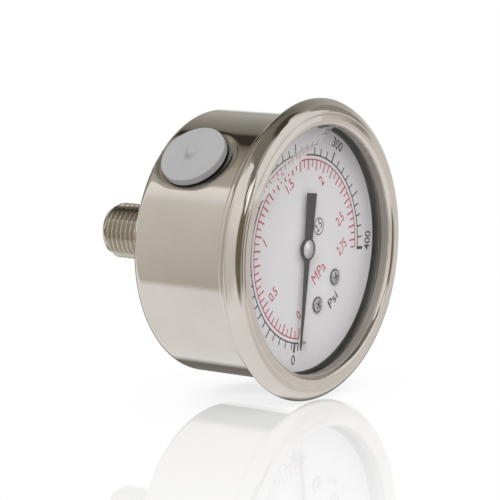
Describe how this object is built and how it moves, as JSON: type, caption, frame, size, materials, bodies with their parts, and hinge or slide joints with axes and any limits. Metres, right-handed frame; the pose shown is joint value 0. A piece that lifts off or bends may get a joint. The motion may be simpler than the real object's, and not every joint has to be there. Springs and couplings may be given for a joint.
{
  "type": "liquid-filled pressure gauge",
  "caption": "Round liquid-filled pressure gauge with a rear threaded stem, a crimped polished steel bezel, a filling plug on top and a working Bourdon tube movement behind its dial.",
  "frame": {"origin": "on the gauge's axis, at the centre of the free end of the full thread", "axes": "+Y out of the stem, away from the body; the dial faces -Y; +Z to the top of the dial, with the filling plug 6 degrees to its left on top of the body; +X to the dial's right as it is read"},
  "size_m": [0.069, 0.0597, 0.069],
  "materials": {
    "shell_steel": "polished drawn stainless steel, slightly warm",
    "bezel_steel": "polished stainless steel sheet, spun",
    "socket_steel": "turned stainless steel",
    "fastener_steel": "bright steel",
    "window_glass": "clear flat window",
    "seal_rubber": "black rubber",
    "plug_rubber": "light grey rubber, satin",
    "dial_paint": "white enamel on sheet, with printed black and red scales",
    "pointer_paint": "black enamel",
    "cap_aluminium": "bright domed cap",
    "movement_brass": "stamped and turned brass",
    "tube_bronze": "phosphor bronze",
    "liquid": "clear glycerine, with an air space at the top"
  },
  "bodies": {
    "housing": {"body_shell": "shell_steel", "bezel_ring": "bezel_steel", "window": "window_glass", "window_gasket": "seal_rubber", "dial": "dial_paint", "dial_screw_left": "fastener_steel", "dial_screw_right": "fastener_steel", "dial_post_left": "movement_brass", "dial_post_right": "movement_brass", "socket": "socket_steel", "socket_seal": "seal_rubber", "rear_screw_1": "fastener_steel", "rear_screw_2": "fastener_steel", "rear_screw_3": "fastener_steel", "restrictor_screw": "fastener_steel", "bourdon_tube": "tube_bronze", "hairspring": "tube_bronze", "hairspring_stud": "movement_brass", "back_plate": "movement_brass", "front_plate": "movement_brass", "pillar_1": "movement_brass", "pillar_2": "movement_brass", "pillar_3": "movement_brass", "movement_screw_1": "fastener_steel", "movement_screw_2": "fastener_steel", "filling_plug": "plug_rubber", "liquid_fill": "liquid"},
    "pointer_body": {"centre_arbor": "fastener_steel", "hairspring_collet": "movement_brass", "pointer": "pointer_paint", "pointer_cap": "cap_aluminium"},
    "sector_body": {"sector_gear": "movement_brass", "sector_arbor": "fastener_steel", "tail_pin": "fastener_steel"},
    "tip_body": {"tube_tip": "socket_steel", "tip_pin": "fastener_steel", "link": "movement_brass"}
  },
  "joints": [
    {"name": "sector_turn", "type": "hinge", "parent": "housing", "child": "sector_body", "pos_m": [0.01581, -0.0415, -0.00569], "axis": [0, -1, 0], "range_deg": [0, 38.57]},
    {"name": "pointer_turn", "type": "hinge", "parent": "housing", "child": "pointer_body", "pos_m": [0, -0.0415, 0], "axis": [0, 1, 0], "range_deg": [0, 270], "deforming": ["hairspring"]},
    {"name": "tip_slide", "type": "slide", "parent": "housing", "child": "tip_body", "axis": [-0.101, 0, 0.9949], "range_m": [0, 0.00264], "stiffness_N_per_m": 8000, "deforming": ["bourdon_tube"]}
  ],
  "couplings": [
    {"joint": "sector_turn", "follows": "tip_slide", "rad_per_m": 254.61},
    {"joint": "pointer_turn", "follows": "tip_slide", "rad_per_m": 1782.3}
  ]
}
